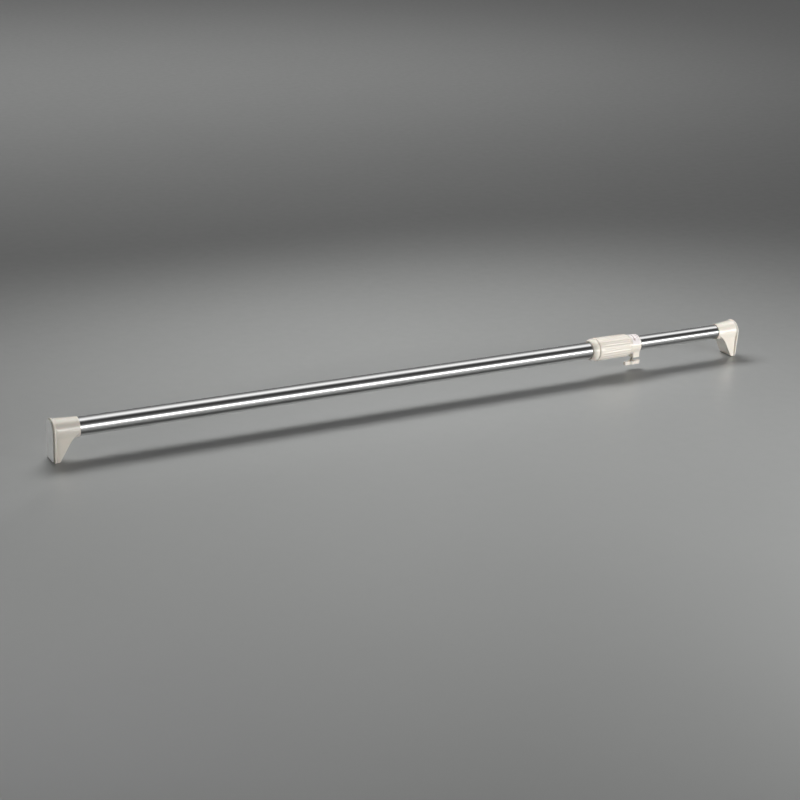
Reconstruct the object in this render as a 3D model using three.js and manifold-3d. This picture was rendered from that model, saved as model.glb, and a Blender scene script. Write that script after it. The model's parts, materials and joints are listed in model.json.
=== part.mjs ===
// A telescopic tension bar with a screw jack, in millimetres, +Z up.
// The bar lies along X. The origin is on the floor under the middle of the posed bar.
// Turning the grip drives the threaded sleeve, the neck and the inner tube outward.
import * as THREE from "three";
import { mergeVertices } from "three/addons/utils/BufferGeometryUtils.js";
import Module from "manifold-3d";

const wasm = await Module();
wasm.setup();

// Driving dimensions
const LENGTH = 1404; // from wall face to wall face
const AXIS_HEIGHT = 51; // the bar's axis above the floor
const GAP = 0.3; // between two pieces that touch
const ROUND = 32; // facets of a full turn
const SMALL_ROUND = 16; // facets of a screw or a peg
const CURVE = 5; // steps of a rounded corner

const OUTER_TUBE = { radius: 16, wall: 0.8 };
const INNER_TUBE = { radius: 14.25, wall: 0.8, length: 1000 };

// Wall pad: a D-shaped plate with a thin overhanging lip and two pegs, a little above the floor
const PAD = { thick: 2.5, lip: 1.2, inset: 1.6, radius: 17.8, footHalf: 16.4, above: 1.2 };
const PEG = { radius: 2.5, length: 3.5, offset: 11 };
const ARCH_CORNER = 4; // at the foot of the pad and of the cap's flange

// End cap: a socket that tapers to its mouth, with a triangular foot under it. Lengths run from
// the wall face.
const CAP = { length: 47, rootRadius: 19.8, mouthWall: 1.2, socketFloor: 8.3, mouthChamfer: 0.5 };
const FLANGE = { radius: 22, footHalf: 20, drop: 1.6, end: 5.4 };
const FOOT = {
  halfWidth: 17.8,
  toeFlat: 9.5,
  toe: [13.5, -47.6],
  knee: [28.4, -21.6],
  bend: [32.7, -14.1],
  throat: [44, -5],
};
const POCKET = { top: -19, floor: -47.5, shortFloor: 10.4, longTop: 25.8, halfWidth: 14.5, rib: 1.25 };
const CAP_SCREW = { headRadius: 4.4, headThick: 2.3, radius: 2, length: 18.5, slotWidth: 1.1, slotDepth: 1.2 };
const PLUG = { length: 18, skirt: 2, web: 3.4, hub: 6, bore: 2.3 };

// The jack, with distances from the left wall face
const TUBE_END = 1058;
const COLLAR = { start: 1051, flareEnd: 1059.5, face: 1063.7, spigotEnd: 1074 };
const COLLAR_RADII = { mouth: 17.6, outside: 21.6, spigot: 19.6 };
const FLARE_STEPS = 4;
const SEAT = { start: 1060.3, radius: 17.7, lip: 15.3 };
const RING_GROOVE = { start: 1067.8, end: 1070.2, floor: 18.7, roof: 20.8 };
const TONGUE = { end: 1128, halfWidth: 2.2, low: 15.8, high: 16.45 };
const GRIP = { start: 1064, end: 1139, leftRadius: 22.5, rightRadius: 21.8 };
const GRIP_BORE = { recess: 20, recessEnd: 1076, passage: 18.4, seat: 19.7, seatStart: 1107.7 };
const RIBS = { count: 24, depth: 0.8, start: 1071.5 };
const NUT = { start: 1108, end: 1124, radius: 19.4, bore: 17.1, lugs: 3, lugRadius: 20.2, lugHalf: 2.5 };
const THREAD = { pitch: 4, root: 16.7, crest: 18, start: 1089, end: 1129, footWidth: 2.2, crestWidth: 1.2 };
const THREAD_PLAY = 0.35; // clearance of the nut's groove on each side
const THREAD_STEPS = 16; // facets of a turn of thread
const SLEEVE = { start: 1078, end: 1147, bore: 14.6 };
const KEYWAY = { floor: 15.45, halfWidth: 2.6, end: 1131 };

// The clamp neck and its wing screw
const NECK = { start: 1139.4, end: 1164.5, radius: 18.25, bore: 14.65, counterbore: 17, nose: 3.2 };
const BOSS = { at: 1156, half: 8.5, halfWidth: 14, bottom: -23.8, corner: 3 };
const CLAMP_POCKET = { half: 6.3, halfWidth: 5.3, floor: -22.3 };
const SCREW = { radius: 3, tip: -16.65, headTop: -35.8, headBottom: -39.5, flats: 10 };
const CLAMP_NUT = { top: -18.4, bottom: -22, flats: 10, bore: 3.3 };
const SHOE = { half: 6, halfWidth: 5, bottom: -16.35, face: 14.55 };
const WING = { half: 17.5, halfThick: 4, top: -33.8, bottom: -41.9, hub: 7.6, notch: 2.6, lobe: 3.5 };
const LABEL = { start: 1143, end: 1161, from: 65, to: 167, radius: 18.55, thick: 0.25 };
const GUIDE = { flange: 3.7, spigot: 14, bore: 10 };

const ivory = new THREE.MeshStandardMaterial({ color: 0xece4d5, roughness: 0.42, metalness: 0 });
const rubber = new THREE.MeshStandardMaterial({ color: 0xd9dad6, roughness: 0.75, metalness: 0 });
const stainless = new THREE.MeshStandardMaterial({ color: 0xd6d7d9, roughness: 0.12, metalness: 1 });
const steel = new THREE.MeshStandardMaterial({ color: 0x8c8781, roughness: 0.35, metalness: 1 });
const acetal = new THREE.MeshStandardMaterial({ color: 0xdad8d0, roughness: 0.5, metalness: 0 });
const paper = new THREE.MeshStandardMaterial({ color: 0xfbf6f4, roughness: 0.6, metalness: 0 });

// Solids

function solidOf(geometry) {
  const bare = geometry.clone();
  bare.deleteAttribute("normal");
  bare.deleteAttribute("uv");
  const merged = mergeVertices(bare, 1e-4);
  const index = merged.index.array;
  const kept = [];
  for (let i = 0; i < index.length; i += 3) {
    const [a, b, c] = [index[i], index[i + 1], index[i + 2]];
    if (a !== b && b !== c && c !== a) kept.push(a, b, c);
  }
  const vertProperties = merged.attributes.position.array;
  return new wasm.Manifold(
    new wasm.Mesh({ numProp: 3, vertProperties, triVerts: new Uint32Array(kept) }),
  );
}

function geometryOf(solid) {
  const { numProp, numVert, vertProperties, triVerts } = solid.getMesh();
  const positions = new Float32Array(numVert * 3);
  for (let i = 0; i < numVert; i++) {
    positions.set(vertProperties.subarray(i * numProp, i * numProp + 3), i * 3);
  }
  const geometry = new THREE.BufferGeometry();
  geometry.setAttribute("position", new THREE.BufferAttribute(positions, 3));
  geometry.setIndex(new THREE.BufferAttribute(triVerts, 1));
  geometry.computeVertexNormals();
  return geometry;
}

// A solid of revolution about X. The profile is a list of [x, radius]: a closed loop, or a line
// that starts and ends on the axis.
function turned(profile, facets = ROUND) {
  const points = profile.map(([x, r]) => new THREE.Vector2(r, x));
  if (THREE.ShapeUtils.isClockWise(points)) points.reverse();
  if (points[0].x > 0) points.push(points[0].clone());
  return solidOf(new THREE.LatheGeometry(points, facets).rotateZ(-Math.PI / 2));
}

function box(low, high) {
  const size = high.map((v, i) => v - low[i]);
  const middle = high.map((v, i) => (v + low[i]) / 2);
  return solidOf(new THREE.BoxGeometry(...size).translate(...middle));
}

// A shape drawn in the Y-Z plane, extruded along X.
function alongBar(shape, start, end) {
  const geometry = new THREE.ExtrudeGeometry(shape, {
    depth: end - start,
    bevelEnabled: false,
    curveSegments: CURVE,
  });
  const turn = new THREE.Matrix4().makeBasis(
    new THREE.Vector3(0, 1, 0),
    new THREE.Vector3(0, 0, 1),
    new THREE.Vector3(1, 0, 0),
  );
  return solidOf(geometry.applyMatrix4(turn).translate(start, 0, 0));
}

// A shape drawn in the X-Z plane, extruded along Y from low to high. widthAt(x) may scale Y.
function acrossBar(shape, low, high, widthAt = () => 1) {
  const geometry = new THREE.ExtrudeGeometry(shape, {
    depth: high - low,
    bevelEnabled: false,
    curveSegments: CURVE,
  });
  geometry.rotateX(Math.PI / 2).translate(0, high, 0);
  const points = geometry.attributes.position;
  for (let i = 0; i < points.count; i++) {
    points.setY(i, points.getY(i) * widthAt(points.getX(i)));
  }
  return solidOf(geometry);
}

// An upright solid: a shape drawn in the X-Y plane, extruded along Z.
function upright(shape, low, high) {
  const geometry = new THREE.ExtrudeGeometry(shape, {
    depth: high - low,
    bevelEnabled: false,
    curveSegments: CURVE,
  });
  return solidOf(geometry.translate(0, 0, low));
}

function circle(radius, x = 0) {
  return new THREE.Shape().absarc(x, 0, radius, 0, 2 * Math.PI, false);
}

function hexagon(flats, x = 0) {
  const corner = flats / Math.sqrt(3);
  const points = [];
  for (let i = 0; i < 6; i++) {
    const angle = (i * Math.PI) / 3;
    points.push(new THREE.Vector2(x + corner * Math.cos(angle), corner * Math.sin(angle)));
  }
  return new THREE.Shape(points);
}

function roundedRectangle(x, halfX, halfY, corner) {
  const shape = new THREE.Shape();
  const quarter = Math.PI / 2;
  shape.absarc(x + halfX - corner, halfY - corner, corner, 0, quarter, false);
  shape.absarc(x - halfX + corner, halfY - corner, corner, quarter, 2 * quarter, false);
  shape.absarc(x - halfX + corner, -halfY + corner, corner, 2 * quarter, 3 * quarter, false);
  shape.absarc(x + halfX - corner, -halfY + corner, corner, 3 * quarter, 4 * quarter, false);
  return shape;
}

// End pieces. Their X runs from the wall face inward, and their origin is on the bar's axis.

// An arch on sides that lean in to the foot. Its centre is that drop below the axis.
function archOutline({ radius, footHalf, above = 0, drop = 0 }) {
  const bottom = above - AXIS_HEIGHT;
  const fall = -bottom - drop;
  const lean = Math.atan2(fall, footHalf) - Math.acos(radius / Math.hypot(footHalf, fall));
  const corner = ARCH_CORNER;
  const run = corner * Math.sin(lean);
  const shape = new THREE.Shape();
  shape.moveTo(-footHalf + corner, bottom);
  shape.lineTo(footHalf - corner, bottom);
  shape.quadraticCurveTo(footHalf, bottom, footHalf + run, bottom + corner);
  shape.absarc(0, -drop, radius, -lean, Math.PI + lean, false);
  shape.lineTo(-footHalf - run, bottom + corner);
  shape.quadraticCurveTo(-footHalf, bottom, -footHalf + corner, bottom);
  return shape;
}

function wallPad() {
  const plate = archOutline({
    radius: PAD.radius - PAD.inset,
    footHalf: PAD.footHalf - PAD.inset,
    above: PAD.above + PAD.inset,
  });
  let pad = alongBar(archOutline(PAD), 0, PAD.lip).add(alongBar(plate, PAD.lip / 2, PAD.thick));
  for (const side of [-1, 1]) {
    const peg = turned([
      [PAD.thick - 1, 0],
      [PAD.thick - 1, PEG.radius],
      [PAD.thick + PEG.length, PEG.radius],
      [PAD.thick + PEG.length, 0],
    ], SMALL_ROUND);
    pad = pad.add(peg.translate([0, side * PEG.offset, 0]));
  }
  return pad;
}

function endCap(tubeRadius) {
  const back = PAD.thick + GAP;
  const mouthRadius = tubeRadius + CAP.mouthWall;
  const slope = (mouthRadius - CAP.rootRadius) / (CAP.length - back);
  const barrel = turned([
    [back, 0],
    [back, CAP.rootRadius],
    [CAP.length - CAP.mouthChamfer, mouthRadius],
    [CAP.length, mouthRadius - CAP.mouthChamfer],
    [CAP.length, 0],
  ]);
  const side = new THREE.Shape();
  side.moveTo(back, 0);
  side.lineTo(back, -AXIS_HEIGHT);
  side.lineTo(FOOT.toeFlat, -AXIS_HEIGHT);
  side.quadraticCurveTo(FOOT.toe[0] - 1.6, -AXIS_HEIGHT, ...FOOT.toe);
  side.lineTo(...FOOT.knee);
  side.quadraticCurveTo(...FOOT.bend, ...FOOT.throat);
  side.lineTo(FOOT.throat[0], 0);
  side.closePath();
  // the foot narrows with the barrel, to stay within it at the throat
  const throatHalf = CAP.rootRadius + slope * (FOOT.throat[0] - back) - 0.2;
  const narrowing = (throatHalf - FOOT.halfWidth) / (FOOT.throat[0] - back);
  const foot = acrossBar(side, -1, 1, (x) => FOOT.halfWidth + narrowing * (x - back));
  const flange = alongBar(archOutline(FLANGE), back, FLANGE.end);
  let cap = barrel.add(foot).add(flange);

  cap = cap.subtract(turned([
    [CAP.socketFloor, 0],
    [CAP.socketFloor, tubeRadius + GAP],
    [CAP.length + 1, tubeRadius + GAP],
    [CAP.length + 1, 0],
  ]));
  // the screw's hole and the recess of its head
  const recessFloor = back + CAP_SCREW.headThick + 2 * GAP;
  cap = cap.subtract(turned([
    [back - 1, 0],
    [back - 1, CAP_SCREW.headRadius + GAP],
    [recessFloor, CAP_SCREW.headRadius + GAP],
    [recessFloor, CAP_SCREW.radius + GAP],
    [CAP.socketFloor + 1, CAP_SCREW.radius + GAP],
    [CAP.socketFloor + 1, 0],
  ], SMALL_ROUND));
  for (const way of [-1, 1]) {
    const hole = turned([
      [back - 1, 0],
      [back - 1, PEG.radius + GAP],
      [PAD.thick + PEG.length + GAP, PEG.radius + GAP],
      [PAD.thick + PEG.length + GAP, 0],
    ], SMALL_ROUND);
    cap = cap.subtract(hole.translate([0, way * PEG.offset, 0]));
    // the foot is cored out from the wall side, on both sides of a middle rib
    const core = new THREE.Shape();
    core.moveTo(back - 1, POCKET.top);
    core.lineTo(back - 1, POCKET.floor);
    core.lineTo(POCKET.shortFloor, POCKET.floor);
    core.lineTo(POCKET.longTop, POCKET.top);
    core.closePath();
    const near = Math.min(way * POCKET.rib, way * POCKET.halfWidth);
    const far = Math.max(way * POCKET.rib, way * POCKET.halfWidth);
    cap = cap.subtract(acrossBar(core, near, far));
  }
  return cap;
}

function tubePlug(boreRadius) {
  const start = CAP.socketFloor + GAP;
  const outside = boreRadius - GAP;
  return turned([
    [start, PLUG.bore],
    [start, outside],
    [start + PLUG.length, outside],
    [start + PLUG.length, outside - PLUG.skirt],
    [start + PLUG.web, outside - PLUG.skirt],
    [start + PLUG.web, PLUG.hub],
    [start + PLUG.length, PLUG.hub],
    [start + PLUG.length, PLUG.bore],
  ]);
}

// A pan head screw with a cross slot. Its head faces the wall.
function capScrew() {
  const top = PAD.thick + 2 * GAP;
  const neck = top + CAP_SCREW.headThick;
  let screw = turned([
    [top, 0],
    [top, CAP_SCREW.headRadius * 0.6],
    [top + CAP_SCREW.headThick * 0.5, CAP_SCREW.headRadius],
    [neck, CAP_SCREW.headRadius],
    [neck, CAP_SCREW.radius],
    [neck + CAP_SCREW.length - 2, CAP_SCREW.radius],
    [neck + CAP_SCREW.length, 0],
  ], SMALL_ROUND);
  const reach = CAP_SCREW.headRadius * 0.55;
  const half = CAP_SCREW.slotWidth / 2;
  const depth = top + CAP_SCREW.slotDepth;
  screw = screw.subtract(box([top - 1, -reach, -half], [depth, reach, half]));
  return screw.subtract(box([top - 1, -half, -reach], [depth, half, reach]));
}

// Tubes

function tube(start, end, { radius, wall }) {
  return turned([
    [start, radius - wall],
    [start, radius],
    [end, radius],
    [end, radius - wall],
  ]);
}

// The jack

// A helix about X whose frames point outward and along the bar, so that a profile swept on it
// keeps the same section in every plane through the axis.
class ThreadHelix extends THREE.Curve {
  constructor(start, end, radius) {
    super();
    Object.assign(this, { start, end, radius });
  }

  angleAt(t) {
    return (2 * Math.PI * (this.start + (this.end - this.start) * t)) / THREAD.pitch;
  }

  getPoint(t, target = new THREE.Vector3()) {
    const angle = this.angleAt(t);
    const x = this.start + (this.end - this.start) * t;
    return target.set(x, this.radius * Math.cos(angle), this.radius * Math.sin(angle));
  }

  getPointAt(t, target) {
    return this.getPoint(t, target);
  }

  computeFrenetFrames(segments) {
    const frames = { tangents: [], normals: [], binormals: [] };
    for (let i = 0; i <= segments; i++) {
      const angle = this.angleAt(i / segments);
      frames.tangents.push(new THREE.Vector3(0, -Math.sin(angle), Math.cos(angle)));
      frames.normals.push(new THREE.Vector3(0, Math.cos(angle), Math.sin(angle)));
      frames.binormals.push(new THREE.Vector3(-1, 0, 0));
    }
    return frames;
  }
}

// One ridge of trapezoid section, from the foot radius out to the crest radius.
function threadRidge(start, end, foot, crest, footWidth, crestWidth) {
  const section = new THREE.Shape([
    new THREE.Vector2(0, -footWidth / 2),
    new THREE.Vector2(crest - foot, -crestWidth / 2),
    new THREE.Vector2(crest - foot, crestWidth / 2),
    new THREE.Vector2(0, footWidth / 2),
  ]);
  const steps = Math.round(((end - start) / THREAD.pitch) * THREAD_STEPS);
  const extrudePath = new ThreadHelix(start, end, foot);
  return solidOf(new THREE.ExtrudeGeometry(section, { steps, bevelEnabled: false, extrudePath }));
}

function jackCollar() {
  const { mouth, outside, spigot } = COLLAR_RADII;
  // the outside swells in a curve from the mouth
  const flare = [];
  for (let step = 0; step <= FLARE_STEPS; step += 1) {
    const share = step / FLARE_STEPS;
    const along = COLLAR.start + (COLLAR.flareEnd - COLLAR.start) * share;
    flare.push([along, mouth + (outside - mouth) * share * (2 - share)]);
  }
  return turned([
    [COLLAR.start, OUTER_TUBE.radius + GAP],
    ...flare,
    [COLLAR.face - 2, outside],
    [COLLAR.face - 0.8, outside - 0.4],
    [COLLAR.face, spigot + 0.6],
    [COLLAR.face, spigot],
    [RING_GROOVE.start, spigot],
    [RING_GROOVE.start, RING_GROOVE.floor],
    [RING_GROOVE.end, RING_GROOVE.floor],
    [RING_GROOVE.end, spigot],
    [COLLAR.spigotEnd, spigot],
    [COLLAR.spigotEnd, SEAT.radius],
    [SEAT.start, SEAT.radius],
    [SEAT.start, SEAT.lip],
    [TUBE_END + GAP, SEAT.lip],
    [TUBE_END + GAP, OUTER_TUBE.radius + GAP],
  ]);
}

function keyWasher() {
  const start = SEAT.start + GAP;
  const washer = turned([
    [start, SEAT.lip],
    [start, SEAT.radius - GAP],
    [start + 1, SEAT.radius - GAP],
    [start + 1, SEAT.lip],
  ]);
  const low = [start + 0.5, -TONGUE.halfWidth, TONGUE.low];
  const high = [TONGUE.end, TONGUE.halfWidth, TONGUE.high];
  return washer.add(box(low, high));
}

// A split ring, open on the side away from the lock screw.
function snapRing() {
  const ring = turned([
    [RING_GROOVE.start + GAP, RING_GROOVE.floor + GAP],
    [RING_GROOVE.start + GAP, RING_GROOVE.roof - GAP],
    [RING_GROOVE.end - GAP, RING_GROOVE.roof - GAP],
    [RING_GROOVE.end - GAP, RING_GROOVE.floor + GAP],
  ]);
  const gap = box(
    [RING_GROOVE.start - 1, -5, 0],
    [RING_GROOVE.end + 1, 5, RING_GROOVE.roof + 1],
  );
  return ring.subtract(gap);
}

function thrustWasher() {
  const start = COLLAR.spigotEnd + GAP;
  const end = GRIP_BORE.recessEnd - GAP;
  const outside = GRIP_BORE.recess - GAP;
  return turned([
    [start, SEAT.radius + 0.1],
    [start, outside],
    [end, outside],
    [end, SEAT.radius + 0.1],
  ]);
}

// The three lugs that lock the nut in the grip, or with some play their slots.
function lugs(start, end, play) {
  let all = null;
  for (let i = 0; i < NUT.lugs; i++) {
    const low = [start, -NUT.lugHalf - play, 0];
    const high = [end, NUT.lugHalf + play, NUT.lugRadius + play];
    const lug = box(low, high).rotate([(360 * i) / NUT.lugs, 0, 0]);
    all = all ? all.add(lug) : lug;
  }
  return all;
}

function grip() {
  const envelope = turned([
    [GRIP.start, 0],
    [GRIP.start, GRIP.leftRadius - 2],
    [GRIP.start + 1.5, GRIP.leftRadius - 0.6],
    [GRIP.start + 4, GRIP.leftRadius],
    [RIBS.start + 1.5, GRIP.leftRadius],
    [GRIP.end - 5, GRIP.rightRadius],
    [GRIP.end - 1.5, GRIP.rightRadius - 1],
    [GRIP.end, GRIP.rightRadius - 2],
    [GRIP.end, 0],
  ]);
  const section = [];
  for (let i = 0; i < RIBS.count; i++) {
    const valley = (2 * Math.PI * i) / RIBS.count;
    const step = (2 * Math.PI) / RIBS.count / 4;
    const floor = GRIP.rightRadius - RIBS.depth;
    const outside = GRIP.leftRadius + 2;
    section.push([floor, valley], [outside, valley + step], [outside, valley + 3 * step]);
  }
  const points = section.map(([r, a]) => new THREE.Vector2(r * Math.cos(a), r * Math.sin(a)));
  const fluted = alongBar(new THREE.Shape(points), RIBS.start, GRIP.end - 2.5);
  const plainEnds = box([GRIP.start - 1, -30, -30], [RIBS.start + 0.1, 30, 30]).add(
    box([GRIP.end - 2.6, -30, -30], [GRIP.end + 1, 30, 30]),
  );
  let body = envelope.intersect(fluted.add(plainEnds));
  body = body.subtract(turned([
    [GRIP.start - 1, 0],
    [GRIP.start - 1, GRIP_BORE.recess],
    [RING_GROOVE.start, GRIP_BORE.recess],
    [RING_GROOVE.start, RING_GROOVE.roof],
    [RING_GROOVE.end, RING_GROOVE.roof],
    [RING_GROOVE.end, GRIP_BORE.recess],
    [GRIP_BORE.recessEnd, GRIP_BORE.recess],
    [GRIP_BORE.recessEnd, GRIP_BORE.passage],
    [GRIP_BORE.seatStart, GRIP_BORE.passage],
    [GRIP_BORE.seatStart, GRIP_BORE.seat],
    [GRIP.end + 1, GRIP_BORE.seat],
    [GRIP.end + 1, 0],
  ]));
  return body.subtract(lugs(GRIP_BORE.seatStart, NUT.end + GAP, GAP));
}

function jackNut() {
  const bore = turned([
    [NUT.start - 1, 0],
    [NUT.start - 1, NUT.bore],
    [NUT.end + 1, NUT.bore],
    [NUT.end + 1, 0],
  ]);
  const blank = turned([
    [NUT.start, 0],
    [NUT.start, NUT.radius],
    [NUT.end, NUT.radius],
    [NUT.end, 0],
  ]);
  const groove = threadRidge(
    NUT.start - THREAD.pitch,
    NUT.end + THREAD.pitch,
    THREAD.root - 0.2,
    THREAD.crest + 0.45,
    THREAD.footWidth + 2 * THREAD_PLAY,
    THREAD.crestWidth + 2 * THREAD_PLAY,
  );
  return blank.add(lugs(NUT.start, NUT.end, 0)).subtract(bore).subtract(groove);
}

function gripEndRing() {
  return turned([
    [NUT.end + GAP, THREAD.crest + 0.5],
    [NUT.end + GAP, GRIP_BORE.seat - GAP],
    [GRIP.end - GAP, GRIP_BORE.seat - GAP],
    [GRIP.end - GAP, THREAD.crest + 0.5],
  ]);
}

function jackSleeve() {
  const body = turned([
    [SLEEVE.start, SLEEVE.bore],
    [SLEEVE.start, THREAD.root],
    [SLEEVE.end, THREAD.root],
    [SLEEVE.end, SLEEVE.bore],
  ]);
  const ridge = threadRidge(
    THREAD.start,
    THREAD.end,
    THREAD.root - 0.5,
    THREAD.crest,
    THREAD.footWidth + 0.4,
    THREAD.crestWidth,
  );
  const low = [SLEEVE.start - 1, -KEYWAY.halfWidth, KEYWAY.floor];
  const high = [KEYWAY.end, KEYWAY.halfWidth, THREAD.crest + 1];
  return body.add(ridge).subtract(box(low, high));
}

// The clamp

function clampNeck() {
  const shell = turned([
    [NECK.start, 0],
    [NECK.start, NECK.radius - 0.5],
    [NECK.start + 0.5, NECK.radius],
    [NECK.end - NECK.nose, NECK.radius],
    [NECK.end - NECK.nose / 3, NECK.radius - 0.8],
    [NECK.end, NECK.radius - 2],
    [NECK.end, 0],
  ]);
  const block = roundedRectangle(BOSS.at, BOSS.half, BOSS.halfWidth, BOSS.corner);
  let neck = shell.add(upright(block, BOSS.bottom, 0));
  neck = neck.subtract(turned([
    [NECK.start - 1, 0],
    [NECK.start - 1, NECK.counterbore],
    [SLEEVE.end + GAP, NECK.counterbore],
    [SLEEVE.end + GAP, NECK.bore],
    [NECK.end + 1, NECK.bore],
    [NECK.end + 1, 0],
  ]));
  const pocket = box(
    [BOSS.at - CLAMP_POCKET.half, -CLAMP_POCKET.halfWidth, CLAMP_POCKET.floor],
    [BOSS.at + CLAMP_POCKET.half, CLAMP_POCKET.halfWidth, -NECK.bore / 2],
  );
  const hole = upright(circle(SCREW.radius + 0.4, BOSS.at), BOSS.bottom - 1, CLAMP_POCKET.floor + 1);
  return neck.subtract(pocket).subtract(hole);
}

function clampNut() {
  const nut = upright(hexagon(CLAMP_NUT.flats, BOSS.at), CLAMP_NUT.bottom, CLAMP_NUT.top);
  return nut.subtract(
    upright(circle(CLAMP_NUT.bore, BOSS.at), CLAMP_NUT.bottom - 1, CLAMP_NUT.top + 1),
  );
}

function clampShoe() {
  const block = box(
    [BOSS.at - SHOE.half, -SHOE.halfWidth, SHOE.bottom],
    [BOSS.at + SHOE.half, SHOE.halfWidth, -SHOE.face / 2],
  );
  return block.subtract(turned([
    [BOSS.at - SHOE.half - 1, 0],
    [BOSS.at - SHOE.half - 1, SHOE.face],
    [BOSS.at + SHOE.half + 1, SHOE.face],
    [BOSS.at + SHOE.half + 1, 0],
  ]));
}

function lockScrew() {
  const shank = upright(circle(SCREW.radius, BOSS.at), SCREW.headTop - 1, SCREW.tip);
  return shank.add(upright(hexagon(SCREW.flats, BOSS.at), SCREW.headBottom, SCREW.headTop));
}

// Two flat wings on a round hub, flat on top, with rounded lobes below.
function wingKnob() {
  const side = new THREE.Shape();
  const waist = WING.bottom + WING.notch;
  const end = WING.half;
  side.moveTo(BOSS.at - end, WING.top);
  side.lineTo(BOSS.at - end, WING.bottom + WING.lobe);
  side.quadraticCurveTo(BOSS.at - end, WING.bottom, BOSS.at - end + WING.lobe, WING.bottom);
  side.lineTo(BOSS.at - WING.hub, WING.bottom);
  side.quadraticCurveTo(BOSS.at - WING.lobe, WING.bottom, BOSS.at - 1, waist);
  side.lineTo(BOSS.at + 1, waist);
  side.quadraticCurveTo(BOSS.at + WING.lobe, WING.bottom, BOSS.at + WING.hub, WING.bottom);
  side.lineTo(BOSS.at + end - WING.lobe, WING.bottom);
  side.quadraticCurveTo(BOSS.at + end, WING.bottom, BOSS.at + end, WING.bottom + WING.lobe);
  side.lineTo(BOSS.at + end, WING.top);
  side.closePath();
  const wings = acrossBar(side, -WING.halfThick, WING.halfThick);
  const hub = upright(circle(WING.hub, BOSS.at), waist - 1, WING.top);
  const hole = upright(circle(SCREW.radius + GAP, BOSS.at), WING.bottom - 1, WING.top + 1);
  const headHole = upright(
    hexagon(SCREW.flats + 2 * GAP, BOSS.at),
    WING.bottom - 1,
    SCREW.headTop + GAP,
  );
  return wings.add(hub).subtract(hole).subtract(headHole);
}

function directionLabel() {
  const from = THREE.MathUtils.degToRad(LABEL.from);
  const to = THREE.MathUtils.degToRad(LABEL.to);
  const shape = new THREE.Shape();
  shape.absarc(0, 0, LABEL.radius + LABEL.thick, from, to, false);
  shape.absarc(0, 0, LABEL.radius, to, from, true);
  return alongBar(shape, LABEL.start, LABEL.end);
}

// The guide on the hidden end of the inner tube
function tubeGuide(tubeStart) {
  const spigotRadius = INNER_TUBE.radius - INNER_TUBE.wall - GAP;
  const flangeRadius = OUTER_TUBE.radius - OUTER_TUBE.wall - GAP;
  return turned([
    [tubeStart - GAP - GUIDE.flange, GUIDE.bore],
    [tubeStart - GAP - GUIDE.flange, flangeRadius],
    [tubeStart - GAP, flangeRadius],
    [tubeStart - GAP, spigotRadius],
    [tubeStart + GUIDE.spigot, spigotRadius],
    [tubeStart + GUIDE.spigot, GUIDE.bore],
  ]);
}

// Assembly

function piece(name, solid, material) {
  const mesh = new THREE.Mesh(geometryOf(solid), material);
  mesh.name = name;
  return mesh;
}

function endPieces(side, { radius, wall }) {
  const group = new THREE.Group();
  group.add(piece(side + "_end_cap", endCap(radius), ivory));
  group.add(piece(side + "_pad", wallPad(), rubber));
  group.add(piece(side + "_tube_plug", tubePlug(radius - wall), acetal));
  group.add(piece(side + "_cap_screw", capScrew(), steel));
  return group;
}

const bar = new THREE.Group();
bar.position.set(-LENGTH / 2, 0, AXIS_HEIGHT);

const leftEnd = endPieces("left", OUTER_TUBE);
const rightEnd = endPieces("right", INNER_TUBE);
rightEnd.position.x = LENGTH;
rightEnd.rotation.z = Math.PI;
bar.add(leftEnd, rightEnd);

const socketStart = CAP.socketFloor + GAP;
const innerEnd = LENGTH - socketStart;
const innerStart = innerEnd - INNER_TUBE.length;
bar.add(piece("outer_tube", tube(socketStart, TUBE_END, OUTER_TUBE), stainless));
bar.add(piece("inner_tube", tube(innerStart, innerEnd, INNER_TUBE), stainless));
bar.add(piece("tube_guide", tubeGuide(innerStart), acetal));

bar.add(piece("jack_collar", jackCollar(), ivory));
bar.add(piece("key_washer", keyWasher(), steel));
bar.add(piece("snap_ring", snapRing(), steel));
bar.add(piece("thrust_washer", thrustWasher(), steel));
bar.add(piece("grip", grip(), ivory));
bar.add(piece("jack_nut", jackNut(), acetal));
bar.add(piece("grip_end_ring", gripEndRing(), ivory));
bar.add(piece("jack_sleeve", jackSleeve(), acetal));

bar.add(piece("clamp_neck", clampNeck(), ivory));
bar.add(piece("clamp_nut", clampNut(), steel));
bar.add(piece("clamp_shoe", clampShoe(), acetal));
bar.add(piece("lock_screw", lockScrew(), steel));
bar.add(piece("wing_knob", wingKnob(), ivory));
bar.add(piece("direction_label", directionLabel(), paper));

const part = new THREE.Group();
part.add(bar);

export default part;
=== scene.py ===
import json
import math

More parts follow.
